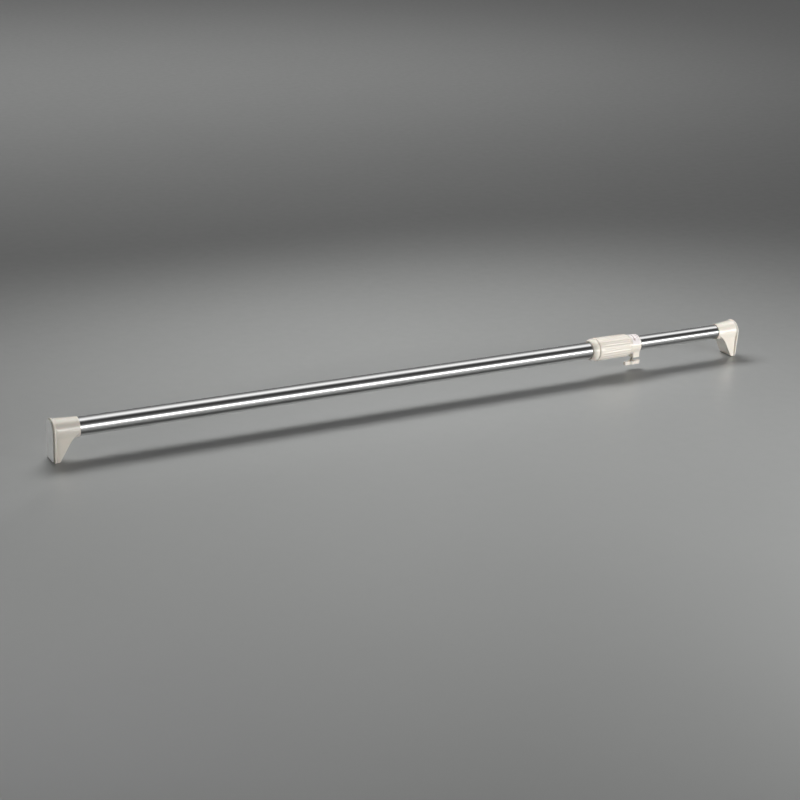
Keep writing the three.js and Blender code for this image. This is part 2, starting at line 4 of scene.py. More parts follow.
import bpy
import numpy as np
from mathutils import Euler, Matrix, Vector


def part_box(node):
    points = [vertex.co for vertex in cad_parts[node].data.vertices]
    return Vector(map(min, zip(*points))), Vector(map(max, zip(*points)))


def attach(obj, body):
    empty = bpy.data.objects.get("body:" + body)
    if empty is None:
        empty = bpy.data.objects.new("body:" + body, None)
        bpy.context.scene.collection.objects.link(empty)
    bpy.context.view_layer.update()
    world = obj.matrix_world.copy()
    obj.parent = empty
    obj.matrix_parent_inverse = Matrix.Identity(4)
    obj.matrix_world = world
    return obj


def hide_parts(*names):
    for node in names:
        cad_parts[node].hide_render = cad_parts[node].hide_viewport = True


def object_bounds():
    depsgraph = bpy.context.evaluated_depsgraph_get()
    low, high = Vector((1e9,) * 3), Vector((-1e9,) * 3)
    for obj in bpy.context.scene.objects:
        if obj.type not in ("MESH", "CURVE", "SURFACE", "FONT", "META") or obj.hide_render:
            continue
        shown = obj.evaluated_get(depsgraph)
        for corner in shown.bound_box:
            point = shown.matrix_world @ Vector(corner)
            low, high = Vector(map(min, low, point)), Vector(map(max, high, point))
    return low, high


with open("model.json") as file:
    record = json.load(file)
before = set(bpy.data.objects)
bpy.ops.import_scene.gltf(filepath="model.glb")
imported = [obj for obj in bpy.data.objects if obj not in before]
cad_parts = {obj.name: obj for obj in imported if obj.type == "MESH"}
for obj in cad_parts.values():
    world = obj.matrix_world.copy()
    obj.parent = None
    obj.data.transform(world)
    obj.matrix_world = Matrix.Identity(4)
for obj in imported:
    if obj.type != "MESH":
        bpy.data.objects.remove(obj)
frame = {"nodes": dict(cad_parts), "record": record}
cad_low, cad_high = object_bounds()

# Shapes are worked out in millimetres in the bar's own frame: `along` runs from the left wall
# face to the right one, `y` runs across, and `up` is the height above the bar's axis.
MM = 0.001
LENGTH = (cad_high.x - cad_low.x) / MM
AXIS_HEIGHT = (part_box("outer_tube")[0].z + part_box("outer_tube")[1].z) / 2 / MM
GAP = 0.3  # between two pieces that touch
SOCKET_FIT = 0.1  # between a tube and its cap
TUBE_WALL = 0.8
TURN = 2 * math.pi
SHARP = 38  # degrees between two faces that make a sharp edge
STARTS_BEHIND = 3  # how far behind its back face a cap's shapes start, before that face cuts them
CUT_PAST = 9  # how far a cut runs past the surface that it opens

# Cells of the nets, in millimetres
NET_STEP = {"cap": 0.48, "pad": 0.5, "neck": 0.5, "knob": 0.34}

# End pieces, with distances from the nearest wall face
PAD = {
    "thick": 2.5, "lip": 1.2, "inset": 1.6, "radius": 17.8, "foot_half": 16.4, "above": 1.2,
    "edge": 0.5, "inset_edge": 0.2,
}
PEG = {"radius": 2.5, "length": 3.5, "offset": 11, "edge": 0.4}
CAP = {
    "length": 47, "root_radius": 19.8, "mouth_wall": 1.2, "socket_floor": 8.3,
    "edge": 0.6, "rim": 0.8, "hole_edge": 0.4,
}
FLANGE = {"radius": 22, "foot_half": 20, "drop": 1.6, "end": 5.4, "corner": 4, "fillet": 2.0, "edge": 0.9}
FOOT = {
    "half": 17.8, "toe_flat": 9.5, "toe_bend": 11.9, "toe": (13.5, -47.6), "knee": (28.4, -21.6),
    "bend": (32.7, -14.1), "throat": (44, -5), "inside": 0.2, "edge": 1.1, "fillet": 2.4,
}
POCKET = {"top": -19, "floor": -47.5, "short": 10.4, "long": 25.8, "half": 14.5, "rib": 1.25, "edge": 0.6}
CAP_SCREW = {"head": 4.4, "head_thick": 2.3, "radius": 2}

# The jack, with distances from the left wall face
TUBE_END = 1058
COLLAR = {
    "start": 1051, "flare_end": 1059.5, "face": 1063.7, "spigot_end": 1074,
    "mouth": 17.6, "radius": 21.6, "spigot": 19.6,
}
SEAT = {"start": 1060.3, "radius": 17.7, "lip": 15.3}
RING_GROOVE = {"start": 1067.8, "end": 1070.2, "floor": 18.7, "roof": 20.8}
GRIP = {"start": 1064, "end": 1139, "left": 22.5, "right": 21.8, "shoulder": 4.5}
GRIP_BORE = {"recess": 20, "recess_end": 1076, "passage": 18.4, "seat": 19.7, "seat_start": 1107.7}
RIBS = {"count": 24, "depth": 0.5, "start": 1071.5, "end": 1136.5, "run_out": 2.5, "facets": 14}
NUT_END = 1124
THREAD = {
    "pitch": 4, "root": 16.7, "crest": 18, "start": 1089, "end": 1129, "foot": 2.2, "top": 1.2,
    "run_out": 1.5,
}
SLEEVE = {"start": 1078, "end": 1147, "bore": 14.6, "step": 0.4}
KEYWAY = {"floor": 15.45, "half": 2.6, "end": 1131}

# The clamp neck and its wing screw
NECK = {
    "start": 1139.4, "end": 1164.5, "radius": 18.25, "bore": 14.65, "counterbore": 17,
    "nose": 3.2, "nose_curve": 0.2, "edge": 0.6, "rim": 0.5,
}
BOSS = {"at": 1156, "half": 8.5, "half_width": 14, "bottom": -23.8, "corner": 3, "edge": 1.1, "fillet": 2.2}
CLAMP_POCKET = {"half": 6.3, "half_width": 5.3, "floor": -22.3, "corner": 0.5}
SCREW = {
    "radius": 3, "play": 0.4, "tip": -16.65, "head_top": -35.8, "head_bottom": -39.5, "flats": 10,
    "pitch": 1, "thread_depth": 0.55, "turn_steps": 8,
}
WING = {
    "half": 17.5, "half_thick": 4, "top": -33.8, "bottom": -41.9, "hub": 7.6, "notch": 2.6, "lobe": 3.5,
    "edge": 1.3, "fillet": 1.6, "hub_edge": 1.0, "rim": 0.8, "hole_edge": 0.4,
}
LABEL = {"start": 1143, "end": 1161, "from": 65, "to": 167, "radius": 18.55, "thick": 0.25, "corner": 2.2}

# The camera looks at a point near the bar's middle.
CAMERA = {"aim": (-0.1155, -0.097, 0.051), "distance": 2.731, "azimuth": -29.87, "elevation": 20.2}
CAMERA_ROLL = 2.34
CAMERA_LENS = 71.6

# The floor, in metres
FLOOR_HALF = 80
FLOOR_BELOW = 0.0002  # under the feet


# Distances to shapes, as arrays: negative inside, positive outside

def smooth_min(a, b, blend):
    near = np.maximum(blend - np.abs(a - b), 0) / blend
    return np.minimum(a, b) - near * near * blend / 4


def smooth_max(a, b, blend):
    return -smooth_min(-a, -b, blend)


def meet(a, b, edge):
    """Where both shapes are, with an edge of that radius between them."""
    a = a + edge
    b = b + edge
    return np.minimum(np.maximum(a, b), 0) + np.hypot(np.maximum(a, 0), np.maximum(b, 0)) - edge


def between(value, low, high):
    return np.abs(value - (low + high) / 2) - (high - low) / 2


def cylinder(radial, axial, radius, low, high, edge=0.0):
    return meet(radial - radius, between(axial, low, high), edge)


def rounded_rectangle(x, y, half_x, half_y, corner):
    return meet(np.abs(x) - half_x, np.abs(y) - half_y, corner)


def polygon(x, y, corners):
    """Distance to a closed outline given by its corners."""
    nearest = np.full(x.shape, np.inf)
    inside = np.zeros(x.shape, bool)
    for (ax, ay), (bx, by) in zip(corners, corners[1:] + corners[:1]):
        ex, ey = bx - ax, by - ay
        share = np.clip(((x - ax) * ex + (y - ay) * ey) / (ex * ex + ey * ey), 0, 1)
        nearest = np.minimum(nearest, np.hypot(x - ax - ex * share, y - ay - ey * share))
        if ey:
            inside ^= ((ay > y) != (by > y)) & (x < ax + ex * (y - ay) / ey)
    return np.where(inside, -nearest, nearest)


def curve(start, middle, end, steps=8):
    """Points of a quadratic curve."""
    points = []
    for i in range(steps + 1):
        t = i / steps
        weights = ((1 - t) ** 2, 2 * t * (1 - t), t * t)
        points.append(tuple(sum(w * p[k] for w, p in zip(weights, (start, middle, end))) for k in (0, 1)))
    return points


def arch(y, up, radius, foot_half, bottom, corner, drop=0.0):
    """An arch on sides that lean in to the foot. Its centre is that drop below the axis."""
    up = up + drop
    bottom = bottom + drop
    lean = math.atan2(-bottom, foot_half) - math.acos(radius / math.hypot(foot_half, bottom))
    y = np.abs(y)
    side = y * math.cos(lean) - up * math.sin(lean) - radius
    below = y * math.sin(lean) + up * math.cos(lean) < 0
    return meet(np.where(below, side, np.hypot(y, up) - radius), bottom - up, corner)


# Meshes

def place(points):
    """Points of the bar's frame, in millimetres, as points of the row frame, in metres."""
    moved = np.array(points, float).reshape(-1, 3)
    moved[:, 0] = moved[:, 0] * MM + cad_low.x
    moved[:, 1] *= MM
    moved[:, 2] = (moved[:, 2] + AXIS_HEIGHT) * MM
    return moved


def mesh_piece(name, points, faces, material, normals=None):
    """A piece named after the CAD node that it stands for, on that node's body."""
    mesh = bpy.data.meshes.new(name)
    mesh.from_pydata(points.tolist(), [], faces.tolist() if hasattr(faces, "tolist") else faces)
    mesh.update()
    mesh.shade_smooth()
    if normals is None:
        mesh.set_sharp_from_angle(angle=math.radians(SHARP))
    else:
        mesh.normals_split_custom_set_from_vertices(normals.tolist())
    mesh.materials.append(material)
    piece = bpy.data.objects.new("fine_" + name, mesh)
    bpy.context.scene.collection.objects.link(piece)
    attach(piece, BODY_OF[name])
    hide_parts(name)
    return piece


def net_of(distance, low, high, step):
    """The surface where distance(along, y, up) is 0, as points, quads and normals: one point in
    each grid cell that the surface crosses, drawn onto the surface."""
    axes = [np.arange(a - 1.5 * step, b + 2.5 * step, step) for a, b in zip(low, high)]
    values = distance(*np.meshgrid(*axes, indexing="ij"))
    inside = values < 0
    cells = tuple(n - 1 for n in values.shape)

    def corner(array, shift):
        return array[tuple(slice(s, s + n) for s, n in zip(shift, cells))]

    shifts = [(i, j, k) for i in (0, 1) for j in (0, 1) for k in (0, 1)]
    count = sum(corner(inside, s).astype(np.int8) for s in shifts)
    mixed = (count > 0) & (count < 8)
    index = np.full(cells, -1)
    index[mixed] = np.arange(mixed.sum())
    at = np.argwhere(mixed)
    total = np.zeros((len(at), 3))
    crossings = np.zeros(len(at))
    for a in shifts:
        for k in range(3):
            if a[k]:
                continue
            b = tuple(s + (n == k) for n, s in enumerate(a))
            va = corner(values, a)[mixed]
            vb = corner(values, b)[mixed]
            crosses = (va < 0) != (vb < 0)
            share = np.where(crosses, va / np.where(crosses, va - vb, 1), 0)
            for n in range(3):
                total[:, n] += np.where(crosses, a[n] + (share if n == k else 0), 0)
            crossings += crosses
    points = np.array([a[0] for a in axes]) + (at + total / crossings[:, None]) * step

    def slope(p):
        tiny = 0.02
        parts = []
        for k in range(3):
            ahead = [p[:, n] + (tiny if n == k else 0) for n in range(3)]
            behind = [p[:, n] - (tiny if n == k else 0) for n in range(3)]
            parts.append((distance(*ahead) - distance(*behind)) / (2 * tiny))
        return np.stack(parts, 1)

    for _ in range(3):
        gradient = slope(points)
        size = np.maximum((gradient ** 2).sum(1), 0.25)
        move = -gradient * (distance(*points.T) / size)[:, None]
        points += np.clip(move, -0.3 * step, 0.3 * step)
    normals = slope(points)
    normals /= np.maximum(np.linalg.norm(normals, axis=1), 1e-9)[:, None]

    quads = []
    for k in range(3):
        i, j = [n for n in range(3) if n != k]
        first = [slice(1, -1)] * 3
        second = [slice(1, -1)] * 3
        first[k] = slice(0, -1)
        second[k] = slice(1, None)
        here, there = inside[tuple(first)], inside[tuple(second)]
        for out, edges in ((False, here & ~there), (True, ~here & there)):
            base = np.argwhere(edges) + 1
            base[:, k] -= 1
            around = []
            for di, dj in ((-1, -1), (0, -1), (0, 0), (-1, 0)):
                cell = base.copy()
                cell[:, i] += di
                cell[:, j] += dj
                around.append(index[tuple(cell.T)])
            quad = np.stack(around, 1)
            quads.append(quad[:, ::-1] if out != (k == 1) else quad)
    return points, np.concatenate(quads), normals


def net_piece(name, distance, low, high, step, material, mirrored=False):
    points, quads, normals = net_of(distance, low, high, step)
    if mirrored:
        points[:, :2] = np.array([LENGTH, 0]) - points[:, :2]
        normals[:, :2] *= -1
    return mesh_piece(name, place(points), quads, material, normals)


def rounded(profile, steps=4):
    """A closed outline of [along, radius] or [along, radius, edge], with its edges rounded."""
    corners = [np.array(p[:2], float) for p in profile]
    edges = [p[2] if len(p) > 2 else 0 for p in profile]
    outline = []
    for n, (corner, edge) in enumerate(zip(corners, edges)):
        if not edge:
            outline.append(tuple(corner))
            continue
        ends = []
        for other in (corners[n - 1], corners[(n + 1) % len(corners)]):
            way = other - corner
            size = np.linalg.norm(way)
            ends.append(corner + way / size * min(edge, size * 0.45))
        outline += curve(ends[0], corner, ends[1], steps)
    return outline


def rings_piece(name, rings, material, closed=True):
    """A surface through rings of points round the bar or round a screw. It closes on its first
    ring, or else on a point in the middle of each end ring."""
    rings = np.asarray(rings, float)
    count, around = rings.shape[:2]
    points = list(rings.reshape(-1, 3))
    faces = []
    for i in range(count if closed else count - 1):
        a, b = i * around, (i + 1) % count * around
        for j in range(around):
            k = (j + 1) % around
            faces.append((a + j, a + k, b + k, b + j))
    if not closed:
        for ring, start, order in ((rings[0], 0, -1), (rings[-1], (count - 1) * around, 1)):
            points.append(ring.mean(0))
            for j in range(around):
                faces.append((start + j, start + (j + 1) % around, len(points) - 1)[::order])
    return mesh_piece(name, place(points), faces, material)


def turned_piece(name, profile, material, around=128, radius=None):
    """A closed outline turned round the bar's axis. radius(along, r, angles) may change r."""
    angles = np.arange(around) / around * TURN
    rings = []
    for along, r in rounded(profile):
        radii = np.full(around, r) if radius is None else radius(along, r, angles)
        rings.append(np.stack([np.full(around, along), radii * np.cos(angles), radii * np.sin(angles)], 1))
    return rings_piece(name, rings, material)


# Materials

class Finish:
    """A material whose colour, roughness and relief come from the place on the piece."""

    def __init__(self, name, **inputs):
        self.material = bpy.data.materials.new(name)
        self.material.use_nodes = True
        self.tree = self.material.node_tree
        self.surface = self.tree.nodes["Principled BSDF"]
        self.place = self.add("ShaderNodeTexCoord").outputs["Object"]
        for key, value in inputs.items():
            self.surface.inputs[key.replace("_", " ")].default_value = value

    def add(self, kind, inputs=(), **settings):
        made = self.tree.nodes.new(kind)
        for key, value in settings.items():
            setattr(made, key, value)
        for key, value in dict(inputs).items():
            if isinstance(value, bpy.types.NodeSocket):
                self.tree.links.new(value, made.inputs[key])
            else:
                made.inputs[key].default_value = value
        return made

    def math(self, operation, a, b):
        return self.add("ShaderNodeMath", {0: a, 1: b}, operation=operation).outputs[0]

    def stretched(self, x, y, z):
        """The place, with its scale changed along each axis."""
        inputs = {0: self.place, 1: (x, y, z)}
        return self.add("ShaderNodeVectorMath", inputs, operation="MULTIPLY").outputs[0]

    def noise(self, scale, detail=3, place=None):
        inputs = {"Vector": place or self.place, "Scale": scale, "Detail": detail}
        return self.add("ShaderNodeTexNoise", inputs).outputs["Fac"]

    def spread(self, value, low, high, to_low, to_high):
        inputs = {"Value": value, "From Min": low, "From Max": high, "To Min": to_low, "To Max": to_high}
        return self.add("ShaderNodeMapRange", inputs).outputs[0]

    def blend(self, share, a, b):
        made = self.add("ShaderNodeMix", data_type="RGBA")
        for socket, value in zip((made.inputs[0], made.inputs[6], made.inputs[7]), (share, a, b)):
            if isinstance(value, bpy.types.NodeSocket):
                self.tree.links.new(value, socket)
            else:
                socket.default_value = value if isinstance(value, (int, float)) else (*value, 1)
        return made.outputs[2]

    def sharpness(self):
        """Above 0.5 on edges that stand out, and below it in corners."""
        return self.add("ShaderNodeNewGeometry").outputs["Pointiness"]

    def relief(self, height, depth, strength=1.0, normal=None):
        inputs = {"Height": height, "Distance": depth, "Strength": strength}
        if normal is not None:
            inputs["Normal"] = normal
        return self.add("ShaderNodeBump", inputs).outputs[0]

    def done(self, colour, roughness, normal=None):
        for name, value in (("Base Color", colour), ("Roughness", roughness), ("Normal", normal)):
            if value is not None:
                self.tree.links.new(value, self.surface.inputs[name])
        return self.material


def ivory_plastic():
    """Moulded plastic: a fine mould grain, a slight yellowing, a painted highlight on its edges and painted
    shade in its corners.
    """
    f = Finish(
        "ivory_plastic", IOR=1.5, Subsurface_Weight=0.06, Subsurface_Scale=0.002,
        Coat_Weight=0.8, Coat_Roughness=0.06,
    )
    aged = f.spread(f.noise(18, 2), 0.35, 0.7, 0, 0.5)
    colour = f.blend(aged, (0.90, 0.845, 0.755), (0.875, 0.80, 0.69))
    mottle = f.spread(f.noise(420, 4), 0.3, 0.7, 0, 0.10)
    colour = f.blend(mottle, colour, (0.76, 0.70, 0.60))
    edges = f.sharpness()
    # painted highlight: convex edges are made paler, as if they catch the light
    colour = f.blend(f.spread(edges, 0.52, 0.60, 0, 0.45), colour, (0.95, 0.92, 0.85))
    # painted shade: hollows and corners are darkened towards brown, where shade falls
    colour = f.blend(f.spread(edges, 0.485, 0.42, 0, 0.45), colour, (0.48, 0.42, 0.33))
    roughness = f.spread(f.noise(75, 4), 0.3, 0.7, 0.13, 0.22)
    grain = f.relief(f.noise(2600, 2), 0.00002, 0.5)
    flow = f.relief(f.noise(90, 2), 0.00025, 0.25, grain)
    return f.done(colour, roughness, flow)


def pad_rubber():
    """Matt rubber with a fine open grain and a slightly soiled, darker edge."""
    f = Finish("pad_rubber", IOR=1.45, Sheen_Weight=0.15, Sheen_Roughness=0.5)
    cloud = f.spread(f.noise(55, 4), 0.3, 0.7, 0, 1)
    colour = f.blend(cloud, (0.78, 0.785, 0.77), (0.72, 0.725, 0.71))
    specks = f.spread(f.noise(1300, 2), 0.60, 0.72, 0, 0.4)
    colour = f.blend(specks, colour, (0.42, 0.43, 0.41))
    edges = f.spread(f.sharpness(), 0.53, 0.62, 0, 0.3)
    colour = f.blend(edges, colour, (0.48, 0.46, 0.42))
    roughness = f.spread(f.noise(300, 3), 0.3, 0.7, 0.62, 0.82)
    return f.done(colour, roughness, f.relief(f.noise(1700, 3), 0.00008, 0.6))


def stainless_tube():
    """Bright drawn tube: fine lines along the bar, a faint polish round it, and handling marks."""
    f = Finish("stainless_tube", Metallic=1.0)
    lines = f.noise(1, 4, f.stretched(9, 1500, 1500))
    polish = f.noise(1, 3, f.stretched(1400, 60, 60))
    colour = f.blend(f.spread(lines, 0.3, 0.7, 0, 1), (0.66, 0.66, 0.655), (0.58, 0.58, 0.58))
    marks = f.spread(f.noise(1, 4, f.stretched(14, 45, 45)), 0.48, 0.75, 0, 0.10)
    roughness = f.math("ADD", f.spread(polish, 0.3, 0.7, 0.07, 0.12), marks)
    drawn = f.relief(lines, 0.00002, 0.35)
    return f.done(colour, roughness, f.relief(polish, 0.000006, 0.3, drawn))


def plated_steel():
    """Zinc plate: a cool bright skin with warmer passivated patches and a fine tooth."""
    f = Finish("plated_steel", Metallic=1.0)
    patches = f.spread(f.noise(240, 4), 0.35, 0.65, 0, 1)
    colour = f.blend(patches, (0.62, 0.62, 0.61), (0.50, 0.47, 0.40))
    edges = f.spread(f.sharpness(), 0.52, 0.62, 0, 0.6)
    colour = f.blend(edges, colour, (0.78, 0.77, 0.74))
    roughness = f.spread(f.noise(900, 3), 0.3, 0.7, 0.26, 0.46)
    return f.done(colour, roughness, f.relief(f.noise(3000, 2), 0.00002, 0.5))


def acetal():
    """Slippery moulded plastic, with faint flow lines and wear where it runs."""
    f = Finish("acetal", IOR=1.48, Subsurface_Weight=0.1, Subsurface_Scale=0.002)
    flow = f.noise(1, 3, f.stretched(260, 60, 60))
    colour = f.blend(f.spread(flow, 0.3, 0.7, 0, 1), (0.74, 0.73, 0.67), (0.66, 0.645, 0.58))
    colour = f.blend(f.spread(f.sharpness(), 0.52, 0.6, 0, 0.5), colour, (0.86, 0.85, 0.80))
    roughness = f.spread(f.noise(500, 3), 0.3, 0.7, 0.30, 0.46)
    return f.done(colour, roughness, f.relief(f.noise(2200, 2), 0.00002, 0.4))


def label_film():
    """A white film with a printed arrow and bars, which the piece marks as its ink."""
    f = Finish("label_film", IOR=1.5, Coat_Weight=0.3, Coat_Roughness=0.2)
    ink = f.spread(f.add("ShaderNodeAttribute", attribute_name="ink").outputs["Fac"], -0.08, 0.08, 0, 1)
    paper = f.blend(f.noise(700, 4), (0.93, 0.86, 0.86), (0.97, 0.92, 0.90))
    worn = f.spread(f.noise(1500, 3), 0.3, 0.7, 0.55, 0.9)
    colour = f.blend(f.math("MULTIPLY", ink, worn), paper, (0.36, 0.25, 0.24))
    roughness = f.spread(f.noise(350, 3), 0.3, 0.7, 0.34, 0.5)
    return f.done(colour, roughness, f.relief(f.noise(900, 3), 0.00004, 0.4))


# End pieces

def cap_distance(tube_radius):
    """The distance function of a cap: a barrel, a foot and a flange, less the tube's socket, the
    screw's hole, the pad's peg holes and the two pockets that core the foot."""
    back = PAD["thick"] + GAP
    start = back - STARTS_BEHIND
    throat = FOOT["throat"]
    toe_end = (FOOT["toe_flat"], -AXIS_HEIGHT)
    side = [(start, 0), (start, -AXIS_HEIGHT), toe_end]
    side += curve(toe_end, (FOOT["toe_bend"], -AXIS_HEIGHT), FOOT["toe"], 6)[1:]
    side += curve(FOOT["knee"], FOOT["bend"], throat)
    side.append((throat[0], 0))
    core = [
        (start, POCKET["top"]), (start, POCKET["floor"]),
        (POCKET["short"], POCKET["floor"]), (POCKET["long"], POCKET["top"]),
    ]
    recess = back + CAP_SCREW["head_thick"] + 2 * GAP
    slope = (tube_radius + CAP["mouth_wall"] - CAP["root_radius"]) / (CAP["length"] - back)
    # the foot narrows until it is just inside the barrel at the throat
    narrowing = (CAP["root_radius"] - FOOT["inside"] - FOOT["half"]) / (throat[0] - back) + slope

    def distance(along, y, up):
        radial = np.hypot(y, up)
        radius = CAP["root_radius"] + slope * (along - back)
        body = meet(radial - radius, between(along, start, CAP["length"]), CAP["edge"])
        half = FOOT["half"] + narrowing * (along - back)
        foot = meet(polygon(along, up, side), np.abs(y) - half, FOOT["edge"])
        body = smooth_min(body, foot, FOOT["fillet"])
        outline = arch(
            y, up, FLANGE["radius"], FLANGE["foot_half"], -AXIS_HEIGHT, FLANGE["corner"], FLANGE["drop"]
        )
        flange = meet(outline, between(along, start, FLANGE["end"]), FLANGE["edge"])
        body = smooth_min(body, flange, FLANGE["fillet"])
        body = smooth_max(body, back - along, CAP["rim"])
        body = smooth_max(body, -AXIS_HEIGHT - up, CAP["rim"])
        socket_radius = tube_radius + SOCKET_FIT
        socket = cylinder(radial, along, socket_radius, CAP["socket_floor"], CAP["length"] + CUT_PAST)
        body = smooth_max(body, -socket, CAP["rim"])
        cut_start = back - CUT_PAST
        head = cylinder(radial, along, CAP_SCREW["head"] + GAP, cut_start, recess)
        hole = cylinder(
            radial, along, CAP_SCREW["radius"] + GAP, cut_start, CAP["socket_floor"] + CUT_PAST
        )
        pegs = cylinder(
            np.hypot(np.abs(y) - PEG["offset"], up), along,
            PEG["radius"] + GAP, cut_start, PAD["thick"] + PEG["length"] + GAP,
        )
        beside_rib = between(np.abs(y), POCKET["rib"], POCKET["half"])
        cores = meet(polygon(along, up, core), beside_rib, POCKET["edge"])
        for cut in (head, hole, pegs, cores):
            body = smooth_max(body, -cut, CAP["hole_edge"])
        return body

    return distance


def pad_distance(along, y, up):
    outline = arch(y, up, PAD["radius"], PAD["foot_half"], PAD["above"] - AXIS_HEIGHT, FLANGE["corner"])
    lip = meet(outline, between(along, 0, PAD["lip"]), PAD["edge"])
    inset_along = between(along, PAD["lip"] / 2, PAD["thick"])
    plate = np.minimum(lip, meet(outline + PAD["inset"], inset_along, PAD["inset_edge"]))
    peg = np.hypot(np.abs(y) - PEG["offset"], up)
    peg_end = PAD["thick"] + PEG["length"]
    pegs = cylinder(peg, along, PEG["radius"], PAD["thick"] - 1, peg_end, PEG["edge"])
    return np.minimum(plate, pegs)


def make_ends():
    low = (PAD["thick"], -FLANGE["radius"], -AXIS_HEIGHT)
    high = (CAP["length"], FLANGE["radius"], FLANGE["radius"])
    pad_low = (0, -PAD["radius"], -AXIS_HEIGHT)
    pad_high = (PAD["thick"] + PEG["length"], PAD["radius"], PAD["radius"])
    for side, mirrored in (("left", False), ("right", True)):
        tube = "inner_tube" if mirrored else "outer_tube"
        cap = cap_distance(tube_radius(tube))
        net_piece(side + "_end_cap", cap, low, high, NET_STEP["cap"], IVORY, mirrored)
        net_piece(side + "_pad", pad_distance, pad_low, pad_high, NET_STEP["pad"], RUBBER, mirrored)


# Tubes and the jack

def tube_radius(node):
    low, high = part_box(node)
    return (high.z - low.z) / 2 / MM


def make_tubes():
    for node in ("outer_tube", "inner_tube"):
        low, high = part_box(node)
        start, end = ((x - cad_low.x) / MM for x in (low.x, high.x))
        outside = tube_radius(node)
        inside = outside - TUBE_WALL
        profile = [
            (start, inside, 0.2), (start, outside, 0.3), (end, outside, 0.3), (end, inside, 0.2),
        ]
        turned_piece(node, profile, STAINLESS)


def make_collar():
    spigot = COLLAR["spigot"]
    tube_hole = tube_radius("outer_tube") + GAP
    start, length = COLLAR["start"], COLLAR["flare_end"] - COLLAR["start"]
    mouth, rise = COLLAR["mouth"], COLLAR["radius"] - COLLAR["mouth"]
    flare = [(start + length * t, mouth + rise * t * (2 - t)) for t in np.linspace(0, 1, 13)[1:]]
    turned_piece("jack_collar", [
        (start, tube_hole, 0.3),
        (start, mouth, 0.35),
        *flare,
        (COLLAR["face"] - 0.9, COLLAR["radius"], 0.9),
        (COLLAR["face"], spigot + 0.6, 0.2),
        (COLLAR["face"], spigot),
        (RING_GROOVE["start"], spigot),
        (RING_GROOVE["start"], RING_GROOVE["floor"]),
        (RING_GROOVE["end"], RING_GROOVE["floor"]),
        (RING_GROOVE["end"], spigot),
        (COLLAR["spigot_end"], spigot, 0.4),
        (COLLAR["spigot_end"], SEAT["radius"], 0.4),
        (SEAT["start"], SEAT["radius"]),
        (SEAT["start"], SEAT["lip"]),
        (TUBE_END + GAP, SEAT["lip"]),
        (TUBE_END + GAP, tube_hole),
    ], IVORY)


def make_grip():
    # rings that are narrower than this, in the bore and on the end faces, have no ribs
    plain_below = GRIP_BORE["recess"] + 0.9

    def fluted(along, r, angles):
        rise = np.clip((along - RIBS["start"] + 1) / RIBS["run_out"], 0, 1)
        fall = np.clip((RIBS["end"] + 1 - along) / RIBS["run_out"], 0, 1)
        share = 0 if r < plain_below else min(rise, fall)
        wave = np.cos(angles * RIBS["count"])
        # the valleys are rounded and narrower than the ribs
        valley = np.clip(0.5 + 0.5 * wave, 0, 1) ** 2
        return r - RIBS["depth"] * share * valley

    ribbed = []
    for share in np.linspace(0, 1, 30):
        along = RIBS["start"] + (GRIP["end"] - GRIP["shoulder"] - RIBS["start"]) * share
        ribbed.append((along, GRIP["left"] + (GRIP["right"] - GRIP["left"]) * share))
    profile = [
        (GRIP["start"], GRIP_BORE["recess"], 0.3),
        (GRIP["start"], GRIP["left"] - 2, 0.3),
        (GRIP["start"] + 1.2, GRIP["left"], 1.1),
        *ribbed,
        (GRIP["end"] - 1.6, GRIP["right"] - 0.5, 1.2),
        (GRIP["end"], GRIP["right"] - 2.2, 0.8),
        (GRIP["end"], GRIP_BORE["seat"], 0.3),
        (GRIP_BORE["seat_start"], GRIP_BORE["seat"]),
        (GRIP_BORE["seat_start"], GRIP_BORE["passage"]),
        (GRIP_BORE["recess_end"], GRIP_BORE["passage"]),
        (GRIP_BORE["recess_end"], GRIP_BORE["recess"]),
        (RING_GROOVE["end"], GRIP_BORE["recess"]),
        (RING_GROOVE["end"], RING_GROOVE["roof"] - 0.4),
        (RING_GROOVE["start"], RING_GROOVE["roof"] - 0.4),
        (RING_GROOVE["start"], GRIP_BORE["recess"]),
    ]
    turned_piece("grip", profile, IVORY, RIBS["count"] * RIBS["facets"], fluted)
    inside, outside = THREAD["crest"] + 0.5, GRIP_BORE["seat"] - GAP
    start, end = NUT_END + GAP, GRIP["end"] - GAP
    turned_piece("grip_end_ring", [
        (start, inside, 0.2), (start, outside, 0.2), (end, outside, 0.5), (end, inside, 0.5),
    ], IVORY)


def make_sleeve():
    def threaded(along, r, angles):
        if r < THREAD["root"] - 1:
            return np.full(angles.shape, r)
        turn = (along - THREAD["pitch"] * angles / TURN) / THREAD["pitch"]
        offset = np.abs(turn - np.round(turn)) * THREAD["pitch"]
        flank = (THREAD["foot"] / 2 - offset) / (THREAD["foot"] / 2 - THREAD["top"] / 2)
        centre = along - (turn - np.round(turn)) * THREAD["pitch"]
        rise = np.clip((centre - THREAD["start"]) / THREAD["run_out"], 0, 1)
        ends = rise * np.clip((THREAD["end"] - centre) / THREAD["run_out"], 0, 1)
        radii = r + (THREAD["crest"] - THREAD["root"]) * np.clip(flank, 0, 1) * ends
        if along < KEYWAY["end"]:
            key = (np.abs(radii * np.cos(angles)) < KEYWAY["half"]) & (np.sin(angles) > 0)
            radii = np.where(key, KEYWAY["floor"] / np.maximum(np.sin(angles), 0.5), radii)
        return radii

    steps = int((SLEEVE["end"] - SLEEVE["start"]) / SLEEVE["step"])
    outside = [
        (SLEEVE["start"] + (SLEEVE["end"] - SLEEVE["start"]) * i / steps, THREAD["root"])
        for i in range(steps + 1)
    ]
    outside[0] = (SLEEVE["start"], THREAD["root"] - 0.3)
    profile = [(SLEEVE["start"], SLEEVE["bore"]), *outside, (SLEEVE["end"], SLEEVE["bore"])]
    turned_piece("jack_sleeve", profile, ACETAL, 192, threaded)


# The clamp

